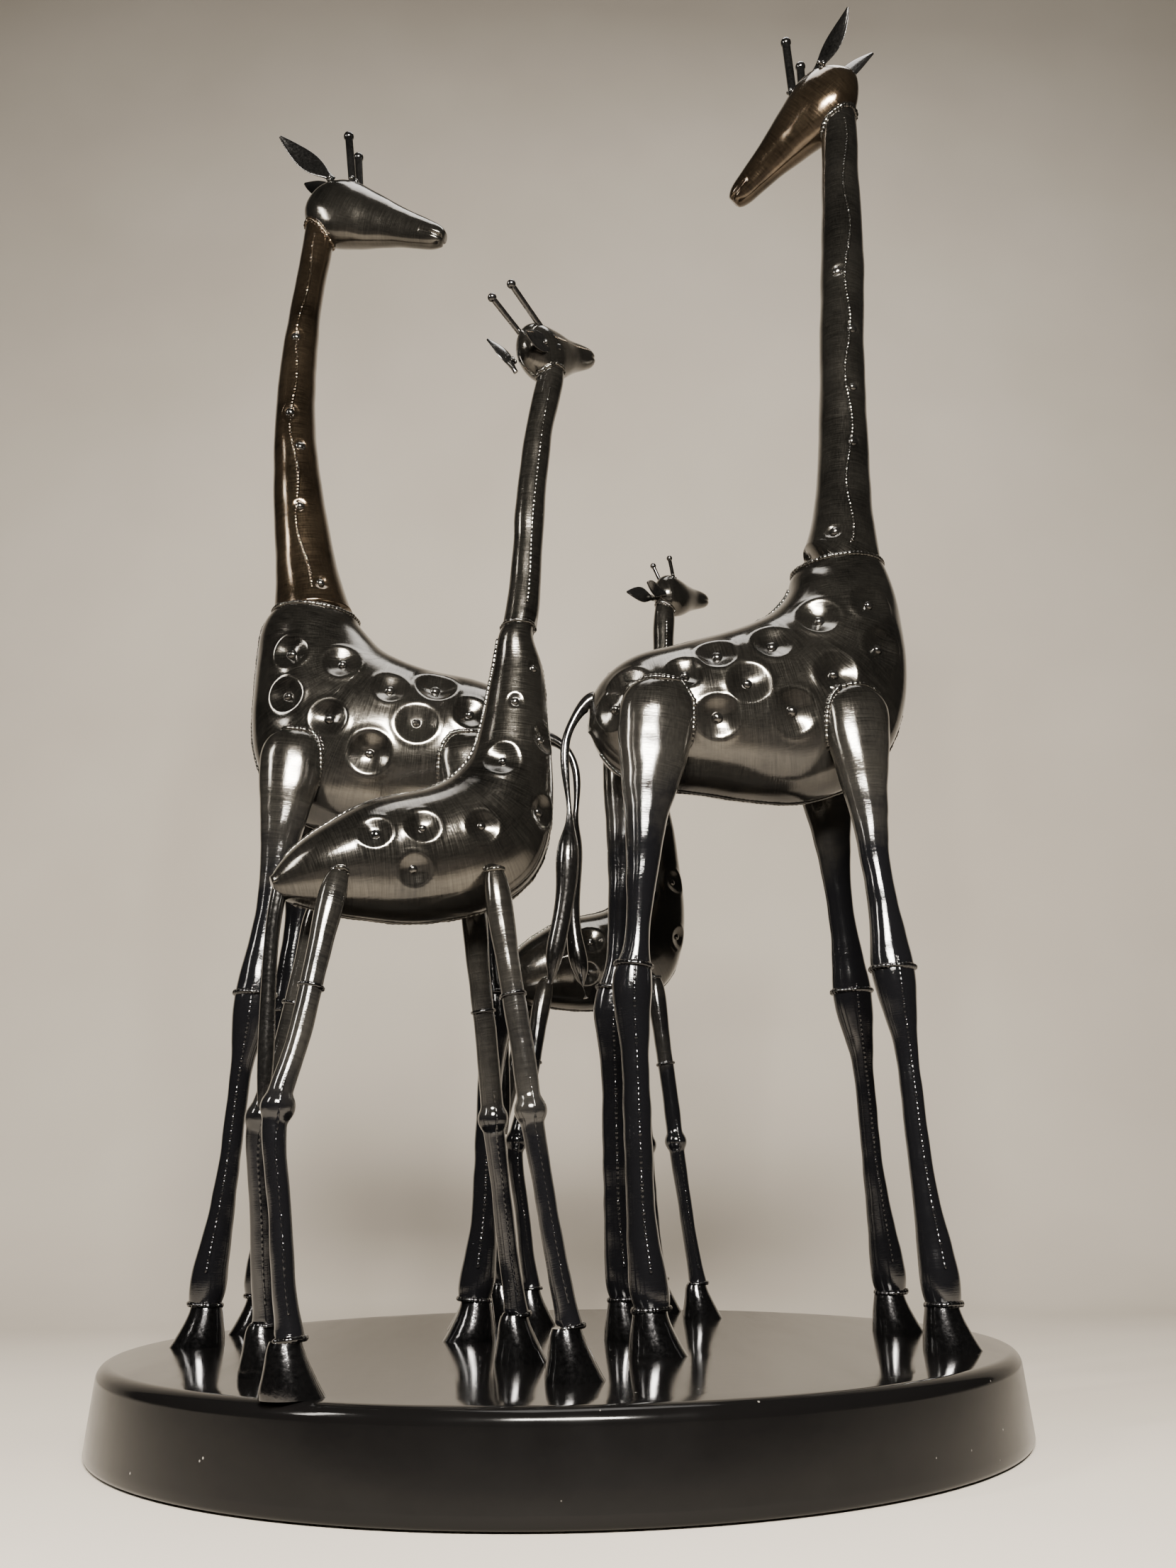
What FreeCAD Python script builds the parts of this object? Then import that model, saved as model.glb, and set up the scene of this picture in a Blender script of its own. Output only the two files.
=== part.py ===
import FreeCAD, Part

import math
import os

import Sketcher

# A family of four welded sheet steel giraffes on a round board. Millimetres, +Z up.
# The origin is the middle of the board's underside. Each giraffe is drawn in its own frame,
# with X along its heading and Y to its left, and then stands on the board at its own place.

V = FreeCAD.Vector
doc = FreeCAD.newDocument("giraffe_family")
sheet = doc.addObject("Spreadsheet::Sheet", "Sizes")
sheet_rows = 0


def cell(name, value):
    """Put one driving size in the sheet under its own name and return it."""
    global sheet_rows
    sheet_rows += 1
    sheet.set("A%d" % sheet_rows, name)
    sheet.set("B%d" % sheet_rows, "%.4f" % value)
    sheet.setAlias("B%d" % sheet_rows, name)
    return value


def bind(obj, prop, formula):
    obj.setExpression(prop, formula)


# ---------------------------------------------------------------- driving sizes
BOARD_THICK = cell("board_thickness", 25.0)
BOARD_R = cell("board_bottom_radius", 150.0)
BOARD_TOP_R = cell("board_top_radius", 148.6)
cell("board_edge_round", 4.0)
WALL = cell("sheet_thickness", 1.0)
cell("adult_bead_radius", 2.0)
cell("calf_bead_radius", 1.3)
cell("calf_knee_radius", 4.8)
cell("screw_shank_radius", 1.75)
cell("screw_head_radius", 4.0)
cell("screw_head_height", 2.5)
cell("screw_reach_in_hoof", 7.0)
RING_POINTS = 12
FLANK_STEPS = 12
BEAD_SINK = 0.3
HORN_ROOT_RISE = 12.0
UPWARD = V(0, 0, 1)
BACKWARD = V(-1, 0, 0)
SIZE_OF = {"bull": "adult", "cow": "adult", "front_calf": "calf", "rear_calf": "calf"}

GIRAFFES = {
    # centre of the body on the board (x, y) and heading in degrees
    "bull": (72.0, -17.0, 5.5),
    "cow": (-78.0, 30.0, 183.0),
    "front_calf": (-41.0, -92.0, 18.4),
    "rear_calf": (15.5, 98.0, 16.0),
}
for family_name, (place_x, place_y, heading) in GIRAFFES.items():
    cell(family_name + "_place_x", place_x)
    cell(family_name + "_place_y", place_y)
    cell(family_name + "_heading", heading)

# Body sections: back (along, up), belly or chest (along, up), width across.
BODIES = {
    "bull": (
        (-61.2, 246.0, -60.6, 239.0, 6.0), (-59.0, 254.0, -57.6, 231.0, 19.0),
        (-53.5, 261.0, -52.0, 223.5, 34.0), (-45.0, 267.5, -45.0, 219.0, 43.0),
        (-31.0, 272.5, -32.0, 216.0, 49.0), (-14.0, 277.5, -15.0, 214.0, 52.0),
        (1.0, 283.5, 5.0, 211.5, 52.5), (10.5, 289.0, 27.0, 213.5, 51.0),
        (16.0, 294.5, 46.5, 223.5, 48.5), (19.0, 299.0, 58.5, 239.5, 45.5),
        (20.7, 303.0, 64.0, 258.0, 42.5), (21.5, 306.0, 64.9, 277.0, 39.0),
        (22.9, 309.0, 58.6, 314.0, 30.0),
    ),
    "cow": (
        (-70.0, 253.0, -69.6, 245.0, 6.0), (-67.5, 262.0, -66.6, 235.0, 20.0),
        (-61.5, 270.5, -60.5, 226.5, 35.0), (-52.5, 277.5, -52.0, 220.5, 44.0),
        (-40.0, 282.0, -40.0, 216.5, 49.0), (-25.0, 285.0, -25.0, 214.0, 51.5),
        (-11.0, 290.0, -5.0, 212.0, 52.0), (-2.5, 295.0, 14.0, 214.0, 51.0),
        (3.0, 300.5, 32.0, 222.0, 48.0), (6.0, 304.0, 44.5, 238.0, 44.5),
        (7.8, 306.5, 49.6, 257.0, 41.0), (8.6, 308.5, 49.8, 276.0, 37.5),
        (10.2, 311.5, 44.2, 311.5, 29.0),
    ),
    "front_calf": (
        (-45.6, 161.5, -45.0, 157.0, 4.0), (-43.0, 166.5, -41.8, 154.6, 11.0),
        (-38.0, 172.5, -36.5, 153.0, 19.0), (-30.0, 179.5, -28.5, 151.6, 26.0),
        (-20.0, 186.0, -18.0, 150.4, 30.5), (-8.0, 190.3, -4.0, 150.0, 32.5),
        (2.0, 194.0, 11.0, 152.6, 32.5), (9.0, 199.5, 25.0, 158.0, 31.0),
        (13.0, 205.0, 35.0, 168.0, 28.5), (15.6, 212.0, 40.3, 186.0, 25.0),
        (19.2, 230.0, 38.6, 225.0, 17.5),
        (21.0, 241.0, 36.6, 241.0, 14.5), (23.2, 252.0, 35.8, 255.0, 12.0),
    ),
    "rear_calf": (
        (-42.6, 164.0, -42.0, 159.0, 4.0), (-40.0, 170.5, -39.0, 156.0, 11.0),
        (-35.5, 177.5, -34.0, 154.0, 19.0), (-28.0, 184.0, -26.5, 152.6, 26.0),
        (-18.0, 190.3, -16.5, 151.6, 30.5), (-7.0, 193.5, -3.0, 151.4, 32.5),
        (4.0, 196.5, 12.0, 153.6, 32.5), (10.5, 201.0, 26.0, 158.6, 31.0),
        (15.0, 207.0, 36.5, 168.0, 28.5), (18.0, 214.0, 42.8, 186.0, 25.0),
        (22.6, 231.0, 41.4, 225.0, 17.5),
        (24.6, 242.0, 39.4, 241.0, 14.5), (26.4, 252.0, 38.6, 254.0, 12.0),
    ),
}

# Neck sections: back (along, up), front (along, up), width across.
NECKS = {
    "bull": (
        (22.9, 309.0, 58.6, 314.0, 30.0), (29.5, 325.0, 57.9, 329.0, 25.5),
        (34.0, 343.0, 57.6, 344.0, 22.0), (37.2, 368.0, 58.6, 368.0, 19.8),
        (40.0, 400.0, 59.8, 400.0, 18.6), (43.3, 440.0, 62.6, 440.0, 18.0),
        (46.8, 480.0, 65.5, 480.0, 17.6), (50.0, 520.0, 66.6, 520.0, 16.4),
        (52.0, 545.0, 67.6, 545.0, 15.4), (53.0, 556.0, 66.0, 556.0, 12.4),
    ),
    "cow": (
        (10.2, 311.5, 44.2, 311.5, 29.0), (15.8, 327.0, 44.6, 327.0, 24.5),
        (20.4, 344.0, 46.0, 344.0, 21.6), (26.2, 371.0, 48.2, 371.0, 19.6),
        (31.2, 402.0, 49.8, 402.0, 18.2), (32.9, 440.0, 49.4, 440.0, 16.2),
        (32.0, 478.0, 46.0, 478.0, 14.0), (29.6, 500.0, 43.9, 500.0, 13.8),
        (28.4, 515.0, 42.6, 515.0, 13.6), (29.0, 526.0, 40.0, 526.0, 10.6),
    ),
    "front_calf": (
        (23.2, 252.0, 35.8, 255.0, 12.0), (25.6, 266.0, 36.8, 267.0, 10.6),
        (27.2, 287.0, 37.8, 287.0, 9.8), (29.4, 315.0, 39.8, 315.0, 9.6),
        (32.6, 337.0, 42.6, 337.0, 9.4), (35.0, 350.0, 45.2, 350.0, 9.2),
        (37.0, 358.0, 45.6, 358.0, 7.6),
    ),
    "rear_calf": (
        (26.4, 252.0, 38.6, 254.0, 12.0), (28.6, 266.0, 39.8, 266.0, 10.6),
        (30.4, 287.0, 41.2, 287.0, 9.8), (32.2, 315.0, 43.0, 315.0, 9.6),
        (33.4, 341.0, 44.4, 341.0, 9.4), (34.4, 352.0, 44.8, 352.0, 8.8),
        (36.0, 359.0, 43.0, 359.0, 6.6),
    ),
}

# One head shape for all: forward from the skull's middle, rise, height and width of each section.
HEAD_SHAPE = (
    (-12.0, 0.0, 5.0, 4.6), (-9.6, 0.2, 15.0, 12.6), (-4.5, 0.4, 27.0, 20.6),
    (2.5, 0.4, 34.4, 24.6), (11.0, -0.2, 34.0, 24.2), (21.0, -0.8, 29.0, 20.5),
    (31.0, -1.2, 23.0, 16.5), (41.0, -1.8, 18.0, 13.5), (50.0, -2.4, 14.5, 12.0),
    (56.0, -2.8, 11.0, 10.0), (59.4, -3.2, 4.8, 4.4),
)
HEADS = {
    # skull's middle (along, up), turn to the left, dip of the nose, scale of length, scale of girth
    "bull": (57.5, 560.0, 139.5, 30.0, 1.08, 1.0),
    "cow": (31.0, 527.0, 165.0, 21.5, 1.07, 1.0),
    "front_calf": (35.0, 363.0, 27.0, -28.0, 0.555, 0.64),
    "rear_calf": (41.0, 361.5, 28.0, -18.0, 0.555, 0.62),
}
HORNS = {
    # forward and sideways at the root, length, rod radius, ball radius, lean back and out (degrees)
    "bull": (12.4, 6.0, 31.0, 2.0, 2.5, 29.0, 4.0),
    "cow": (9.0, 5.0, 30.5, 1.9, 2.5, 27.0, 3.0),
    "front_calf": (3.0, 4.4, 18.5, 1.1, 1.65, 31.0, 2.0),
    "rear_calf": (4.0, 4.0, 11.0, 0.95, 1.5, 7.0, 8.0),
}
# Left and right ear: forward, sideways and rise at the root, length, width, lean back and out (degrees).
EARS = {
    "bull": ((0.0, 8.0, 10.0, 31.0, 10.0, 78.0, 13.0), (0.0, 8.0, 10.0, 31.0, 10.0, 78.0, 13.0)),
    "cow": ((-1.0, 8.0, 12.5, 37.0, 9.5, 68.0, 11.5), (-1.0, 8.0, 12.5, 37.0, 9.5, 68.0, 11.5)),
    "front_calf": ((-6.0, 6.5, -4.0, 17.0, 6.5, 7.0, 21.0), (5.0, 7.5, -1.0, 19.0, 7.5, 74.0, 3.0)),
    "rear_calf": ((-6.0, 4.0, 0.0, 17.0, 8.0, 75.0, 10.0), (-6.0, 4.0, 0.0, 17.0, 8.0, 75.0, 10.0)),
}

# Leg sections from the fetlock up: height, middle along, depth, width across.
LEG_SHAPES = {
    "adult_front": (
        (38.0, 42.9, 10.6, 10.0), (43.0, 42.7, 12.6, 11.6), (51.0, 42.4, 12.0, 10.8),
        (62.0, 41.6, 10.0, 9.0), (80.0, 40.7, 7.8, 7.6), (104.0, 40.5, 7.4, 7.2),
        (121.0, 40.2, 8.6, 8.2), (131.0, 39.6, 12.0, 10.8), (142.0, 38.9, 14.8, 12.6),
        (152.0, 38.6, 13.8, 11.8), (163.0, 38.2, 11.4, 10.6), (181.0, 37.0, 10.4, 9.8),
        (200.0, 36.5, 13.8, 11.4), (220.0, 35.8, 20.4, 14.4), (236.0, 35.8, 24.8, 15.6),
        (246.0, 36.0, 22.0, 13.0), (251.0, 36.2, 10.0, 6.0),
    ),
    "adult_rear": (
        (38.0, -48.4, 10.4, 10.0), (43.0, -48.9, 12.6, 11.6), (51.0, -49.6, 11.8, 10.8),
        (62.0, -50.5, 9.8, 9.2), (80.0, -50.7, 9.2, 8.6), (104.0, -50.6, 9.2, 8.4),
        (121.0, -50.6, 10.0, 8.8), (132.0, -50.9, 12.8, 10.4), (142.0, -50.4, 13.2, 10.8),
        (151.0, -48.9, 9.4, 9.0), (163.0, -47.4, 8.8, 8.6), (181.0, -45.3, 11.6, 10.6),
        (200.0, -43.0, 16.2, 12.8), (218.0, -40.0, 24.0, 15.0), (234.0, -38.0, 28.4, 16.0),
        (246.0, -36.4, 25.0, 13.0), (251.0, -35.4, 12.0, 6.0),
    ),
    "calf_front": (
        (38.0, 35.4, 8.0, 7.6), (44.0, 34.5, 6.6, 6.4), (60.0, 31.8, 6.1, 5.9),
        (76.0, 29.6, 6.0, 5.8), (92.0, 27.3, 6.8, 6.6), (108.0, 25.6, 7.0, 6.8),
        (124.0, 23.6, 7.0, 6.9), (140.0, 21.4, 7.4, 7.0), (154.0, 19.8, 8.4, 7.0),
        (162.0, 19.0, 7.0, 5.6), (165.5, 18.6, 4.5, 3.6),
    ),
    "calf_rear": (
        (38.0, -37.2, 8.0, 7.6), (44.0, -38.0, 6.6, 6.4), (60.0, -40.0, 6.1, 5.9),
        (76.0, -42.0, 6.0, 5.8), (92.0, -43.4, 6.8, 6.6), (108.0, -39.5, 6.6, 6.4),
        (124.0, -36.0, 6.7, 6.5), (140.0, -33.2, 7.2, 6.8), (151.0, -31.2, 8.4, 6.9),
        (158.0, -29.8, 7.4, 5.6), (162.0, -29.0, 4.6, 3.6),
    ),
}
KNEE_HEIGHT = 94.5
# Where each hoof stands and where the leg meets the flank: hoof (along, across), hip (along, across).
STANCES = {
    "bull": {
        "leg_front_right": (44.3, -31.7, 36.0, -21.0), "leg_front_left": (49.7, 32.3, 36.0, 21.0),
        "leg_rear_right": (-46.9, -25.5, -37.5, -21.5), "leg_rear_left": (-47.8, 26.2, -37.5, 21.5),
    },
    "cow": {
        "leg_front_left": (46.5, 22.0, 29.0, 20.5), "leg_front_right": (35.4, -22.5, 29.0, -20.5),
        "leg_rear_left": (-46.1, 22.0, -41.0, 21.0), "leg_rear_right": (-46.2, -22.6, -41.0, -21.0),
    },
    "front_calf": {
        "leg_front_right": (37.0, -24.5, 18.5, -13.5), "leg_front_left": (36.7, 23.7, 18.5, 13.5),
        "leg_rear_right": (-36.2, -24.5, -29.0, -13.0), "leg_rear_left": (-36.9, 23.9, -29.0, 13.0),
    },
    "rear_calf": {
        "leg_front_right": (36.0, -20.4, 24.0, -13.5), "leg_front_left": (33.8, 19.7, 24.0, 13.5),
        "leg_rear_right": (-34.4, -20.4, -27.0, -13.0), "leg_rear_left": (-36.4, 19.8, -27.0, 13.0),
    },
}
# Hoof sections: height, middle forward of the leg, depth, width across.
HOOF_SHAPES = {
    "adult": (
        (25.0, 1.6, 18.5, 15.5), (27.0, 1.0, 17.0, 15.2), (30.0, 0.3, 15.0, 14.0),
        (34.0, -0.4, 12.4, 12.0), (38.0, -0.6, 10.6, 10.0),
    ),
    "calf": (
        (25.0, 1.6, 16.5, 13.0), (27.0, 1.0, 15.2, 12.8), (30.0, 0.4, 13.0, 12.0),
        (34.0, -0.4, 10.4, 10.0), (38.0, -0.7, 8.0, 7.6),
    ),
}
# Ear sections: share of the length, share of the width, thickness, curl inward as a share of the length.
EAR_SHAPE = (
    (0.00, 0.34, 1.8, 0.00), (0.16, 0.52, 1.4, 0.03), (0.40, 0.98, 1.2, 0.06),
    (0.62, 0.92, 1.1, 0.06), (0.84, 0.50, 1.0, 0.03), (0.97, 0.16, 0.9, 0.00),
)
# Tails: along, across, up and diameter from root to tip.
TAILS = {
    "bull": (
        (-57.0, 0.0, 251.5, 6.5), (-62.0, 0.0, 249.0, 5.6), (-66.0, 0.0, 243.5, 3.8),
        (-69.2, 0.0, 236.0, 3.3), (-70.0, 0.0, 222.0, 3.1), (-68.6, 0.0, 202.0, 3.2),
        (-69.2, 0.0, 194.0, 7.2), (-70.0, 0.0, 178.0, 7.4), (-72.6, 0.0, 162.0, 6.6),
        (-75.0, 0.0, 149.0, 4.6), (-76.2, 0.0, 143.0, 2.0),
    ),
    "cow": (
        (-67.0, 0.0, 257.0, 6.5), (-74.0, 0.0, 256.5, 5.6), (-80.5, 0.0, 252.5, 3.8),
        (-84.2, 0.0, 246.0, 3.3), (-85.6, 0.0, 236.0, 3.1), (-84.6, 0.0, 220.0, 3.2),
        (-84.0, 0.0, 212.0, 6.6), (-83.4, 0.0, 196.0, 7.2), (-84.0, 0.0, 172.0, 6.4),
        (-86.6, 0.0, 156.0, 4.6), (-88.2, 0.0, 147.0, 2.0),
    ),
    "front_calf": (
        (-42.6, 0.0, 161.0, 4.4), (-43.6, 0.0, 154.0, 4.5), (-44.3, 0.0, 146.0, 4.3),
        (-44.5, 0.0, 134.0, 4.2), (-44.2, 0.0, 120.0, 4.6), (-43.9, 0.0, 106.0, 4.4),
        (-44.0, 0.0, 96.0, 2.4),
    ),
    "rear_calf": (
        (-39.6, 0.0, 163.0, 4.4), (-40.6, 0.0, 156.0, 4.5), (-41.3, 0.0, 148.0, 4.3),
        (-41.5, 0.0, 136.0, 4.2), (-41.2, 0.0, 122.0, 4.6), (-40.9, 0.0, 108.0, 4.4),
        (-41.0, 0.0, 98.0, 2.4),
    ),
}
# Weld metal dots on each flank: along, up.
BEADS = {
    "bull": (
        (-48.5, 249.0), (-28.0, 254.0), (-15.5, 262.5), (6.0, 268.0), (25.0, 280.5), (46.5, 287.5),
        (48.8, 268.5), (-5.0, 250.0), (29.0, 255.5), (12.0, 239.0), (-16.5, 236.0), (-54.0, 241.0),
        (36.5, 322.0), (49.5, 366.0), (51.5, 393.0), (53.5, 423.0), (49.5, 453.0),
    ),
    "cow": (
        (33.0, 286.5), (33.5, 266.7), (11.5, 281.5), (15.6, 255.5), (-8.6, 269.4), (-27.0, 271.8),
        (-20.0, 253.5), (-41.3, 259.0), (-1.4, 240.5), (-58.0, 249.0),
        (23.0, 322.0), (34.6, 359.6), (36.0, 391.0), (42.0, 408.0), (42.0, 450.0),
    ),
    "front_calf": (
        (-4.5, 176.5), (14.0, 177.7), (20.8, 201.7), (35.0, 210.7), (34.5, 185.7), (-6.2, 162.7),
        (25.7, 222.7), (32.6, 235.7), (-18.5, 173.7),
    ),
    "rear_calf": (
        (-6.1, 180.1), (13.4, 180.1), (21.4, 204.1), (36.4, 210.1), (36.9, 184.1), (-7.8, 165.1),
        (27.4, 225.1), (33.9, 239.1), (-19.6, 177.1),
    ),
}


# ---------------------------------------------------------------- building blocks
def oval(key, middle, long_way, normal, deep, wide):
    """One oval section: deep along long_way, wide across it."""
    cell(key + "_deep", deep)
    cell(key + "_wide", wide)
    section = doc.addObject("Part::Ellipse", key)
    bind(section, "MajorRadius", "Sizes.%s_deep / 2" % key)
    bind(section, "MinorRadius", "Sizes.%s_wide / 2" % key)
    turn = FreeCAD.Rotation(long_way, normal.cross(long_way), normal, "ZXY")
    section.Placement = FreeCAD.Placement(middle, turn)
    return section


def rim_point(section, angle, inset):
    out = V((section.MajorRadius.Value - inset) * math.cos(angle),
            (section.MinorRadius.Value - inset) * math.sin(angle), 0)
    return section.Placement.multVec(out)


def settle(sections):
    """Bring the sheet and the sections up to date before a skin is drawn through them."""
    sheet.recompute()
    for section in sections:
        section.recompute()


def ring(section, inset):
    """The whole rim of a section, or the line one wall inside it, as a closed curve."""
    points = [rim_point(section, 2 * math.pi * step / RING_POINTS, inset) for step in range(RING_POINTS)]
    curve = Part.BSplineCurve()
    curve.interpolate(points, PeriodicFlag=True)
    return curve


def loft(name, sections, inset=0.0):
    """A smooth closed solid through the sections, or the hollow one wall inside it."""
    settle(sections)
    solid = doc.addObject("Part::Feature", name)
    solid.Shape = Part.makeLoft([Part.Wire([ring(one, inset).toShape()]) for one in sections], True, False)
    return solid


def half_ring(section, side, inset):
    """The part of a section's rim on one side of the middle plane."""
    curve = ring(section, inset)
    front = curve.parameter(rim_point(section, math.pi, inset))
    if side < 0:
        return curve.toShape(curve.FirstParameter, front)
    return curve.toShape(front, curve.LastParameter)


def half_shell(name, sections, side):
    """One pressed half of sheet metal, from the middle plane round one side."""
    settle(sections)
    wires = []
    for section in sections:
        outer = half_ring(section, side, 0.0)
        inner = half_ring(section, side, WALL)
        ends = [Part.makeLine(outer.Vertexes[end].Point, inner.Vertexes[end].Point) for end in (0, 1)]
        wires.append(Part.Wire([outer, ends[1], inner, ends[0]]))
    half = doc.addObject("Part::Feature", name)
    half.Shape = Part.makeLoft(wires, True, False)
    return half


def side_view_sections(name, outline):
    """Sections given by their back point, front point and width."""
    sections = []
    for index, (back_x, back_z, front_x, front_z, wide) in enumerate(outline):
        back = V(back_x, 0, back_z)
        front = V(front_x, 0, front_z)
        deep = (back - front).Length
        long_way = (back - front).normalize()
        normal = V(0, 1, 0).cross(long_way)
        middle = (back + front) * 0.5
        sections.append(oval("%s_%d" % (name, index), middle, long_way, normal, deep, wide))
    return sections


def subtract(name, base, tools):
    """Cut the tools from the base one after another."""
    result = base
    for index, tool in enumerate(tools):
        cut = doc.addObject("Part::Cut", "%s_%d" % (name, index))
        cut.Base = result
        cut.Tool = tool
        result = cut
    return result


def group(name, members):
    result = doc.addObject("Part::Compound", name)
    result.Links = members
    return result


NODES = []


def stand(obj, node, giraffe=None):
    """Name a finished piece and stand it at its giraffe's place on the board."""
    obj.Label = node
    if giraffe:
        bind(obj, "Placement.Base.x", "Sizes.%s_place_x" % giraffe)
        bind(obj, "Placement.Base.y", "Sizes.%s_place_y" % giraffe)
        bind(obj, "Placement.Rotation.Angle", "Sizes.%s_heading * 1 deg" % giraffe)
    NODES.append(obj)


def head_pose(giraffe):
    along, up, turn, dip, _, _ = HEADS[giraffe]
    heading = FreeCAD.Rotation(V(0, 0, 1), turn)
    nod = FreeCAD.Rotation(V(0, 1, 0), dip)
    return FreeCAD.Placement(V(along, 0, up), heading.multiply(nod))


def head_sections(giraffe):
    pose = head_pose(giraffe)
    _, _, _, _, long_scale, girth = HEADS[giraffe]
    up = pose.Rotation.multVec(V(0, 0, 1))
    ahead = pose.Rotation.multVec(V(1, 0, 0))
    sections = []
    for index, (forward, rise, deep, wide) in enumerate(HEAD_SHAPE):
        key = "%s_head_%d" % (giraffe, index)
        middle = pose.multVec(V(forward * long_scale, 0, rise * girth))
        sections.append(oval(key, middle, up, ahead, deep * girth, wide * girth))
    return sections


def make_tail(giraffe, body):
    """A bent round bar with a thicker tassel, through the points of TAILS."""
    points = TAILS[giraffe]
    sections = []
    for index, (x, y, z, size) in enumerate(points):
        before = V(*points[max(index - 1, 0)][:3])
        after = V(*points[min(index + 1, len(points) - 1)][:3])
        normal = (after - before).normalize()
        long_way = V(0, 1, 0).cross(normal)
        key = "%s_tail_%d" % (giraffe, index)
        sections.append(oval(key, V(x, y, z), long_way, normal, size, size))
    bar = loft(giraffe + "_tail_bar", sections)
    stand(subtract(giraffe + "_tail_trim", bar, [body]), giraffe + "_tail", giraffe)


def lean(back, out, side):
    """Lean an upright piece back and out to one side of the head."""
    backward = FreeCAD.Rotation(V(0, 1, 0), -back)
    return backward.multiply(FreeCAD.Rotation(V(1, 0, 0), -side * out))


def make_horns(giraffe, head):
    forward, sideways, length, rod_r, ball_r, back, out = HORNS[giraffe]
    pose = head_pose(giraffe)
    girth = HEADS[giraffe][5]
    cell(giraffe + "_horn_length", length)
    cell(giraffe + "_horn_rod_radius", rod_r)
    cell(giraffe + "_horn_ball_radius", ball_r)
    horns = []
    for side, word in ((1, "left"), (-1, "right")):
        root = V(forward, side * sideways, HORN_ROOT_RISE * girth)
        place = pose.multiply(FreeCAD.Placement(root, lean(back, out, side)))
        rod = doc.addObject("Part::Cylinder", "%s_horn_rod_%s" % (giraffe, word))
        bind(rod, "Radius", "Sizes.%s_horn_rod_radius" % giraffe)
        bind(rod, "Height", "Sizes.%s_horn_length" % giraffe)
        rod.Placement = place
        ball = doc.addObject("Part::Sphere", "%s_horn_ball_%s" % (giraffe, word))
        bind(ball, "Radius", "Sizes.%s_horn_ball_radius" % giraffe)
        ball.Placement = place.multiply(FreeCAD.Placement(V(0, 0, length), FreeCAD.Rotation()))
        whole = doc.addObject("Part::MultiFuse", "%s_horn_%s" % (giraffe, word))
        whole.Shapes = [rod, ball]
        horns.append(subtract("%s_horn_trim_%s" % (giraffe, word), whole, [head]))
    stand(group(giraffe + "_horns_pair", horns), giraffe + "_horns", giraffe)


def make_ears(giraffe, head):
    pose = head_pose(giraffe)
    ears = []
    for side, word, sizes in zip((1, -1), ("left", "right"), EARS[giraffe]):
        forward, sideways, rise, length, width, back, out = sizes
        root = V(forward, side * sideways, rise)
        place = pose.multiply(FreeCAD.Placement(root, lean(back, out, side)))
        broad_way = place.Rotation.multVec(V(1, 0, 0))
        normal = place.Rotation.multVec(V(0, 0, 1))
        sections = []
        for index, (share, broad, thick, curl) in enumerate(EAR_SHAPE):
            key = "%s_ear_%s_%d" % (giraffe, word, index)
            middle = place.multVec(V(0, -side * curl * length, share * length))
            sections.append(oval(key, middle, broad_way, normal, broad * width, thick))
        leaf = loft("%s_ear_%s" % (giraffe, word), sections)
        ears.append(subtract("%s_ear_trim_%s" % (giraffe, word), leaf, [head]))
    stand(group(giraffe + "_ears_pair", ears), giraffe + "_ears", giraffe)


def knee_spot(sections):
    """The place on the leg's middle line at the height of the knee."""
    for below, above in zip(sections, sections[1:]):
        low = below.Placement.Base
        high = above.Placement.Base
        if low.z <= KNEE_HEIGHT <= high.z:
            return low + (high - low) * ((KNEE_HEIGHT - low.z) / (high.z - low.z))


def make_leg(giraffe, leg, body):
    """A rolled tube on an adult and a plain bar on a calf, ending on the body's flank."""
    size = SIZE_OF[giraffe]
    hoof_x, hoof_y, hip_x, hip_y = STANCES[giraffe][leg]
    shape = LEG_SHAPES["%s_%s" % (size, "front" if "front" in leg else "rear")]
    foot_z, foot_x = shape[0][:2]
    top_z = shape[-1][0]
    top_x = shape[-2][1]
    sections = []
    for index, (height, middle, deep, wide) in enumerate(shape):
        climb = (height - foot_z) / (top_z - foot_z)
        x = middle + (hoof_x - foot_x) * (1 - climb) + (hip_x - top_x) * climb
        y = hoof_y + (hip_y - hoof_y) * climb
        key = "%s_%s_%d" % (giraffe, leg, index)
        sections.append(oval(key, V(x, y, height), BACKWARD, UPWARD, deep, wide))
    tools = [body]
    if size == "adult":
        tools.insert(0, loft("%s_%s_hollow" % (giraffe, leg), sections[:-1], WALL))
    solid = loft("%s_%s_solid" % (giraffe, leg), sections)
    if size == "calf":
        bar = solid
        knee = doc.addObject("Part::Sphere", "%s_%s_knee" % (giraffe, leg))
        bind(knee, "Radius", "Sizes.calf_knee_radius")
        knee.Placement.Base = knee_spot(sections)
        solid = doc.addObject("Part::MultiFuse", "%s_%s_kneed" % (giraffe, leg))
        solid.Shapes = [bar, knee]
    stand(subtract("%s_%s_trim" % (giraffe, leg), solid, tools), "%s_%s" % (giraffe, leg), giraffe)


def screw_blank(name, spot):
    """A countersunk screw pointing up from the board's underside."""
    shank = doc.addObject("Part::Cylinder", name + "_shank")
    bind(shank, "Radius", "Sizes.screw_shank_radius")
    bind(shank, "Height", "Sizes.board_thickness + Sizes.screw_reach_in_hoof")
    shank.Placement.Base = spot
    head = doc.addObject("Part::Cone", name + "_head")
    bind(head, "Radius1", "Sizes.screw_head_radius")
    bind(head, "Radius2", "Sizes.screw_shank_radius")
    bind(head, "Height", "Sizes.screw_head_height")
    head.Placement.Base = spot
    whole = doc.addObject("Part::MultiFuse", name)
    whole.Shapes = [shank, head]
    return whole


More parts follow.
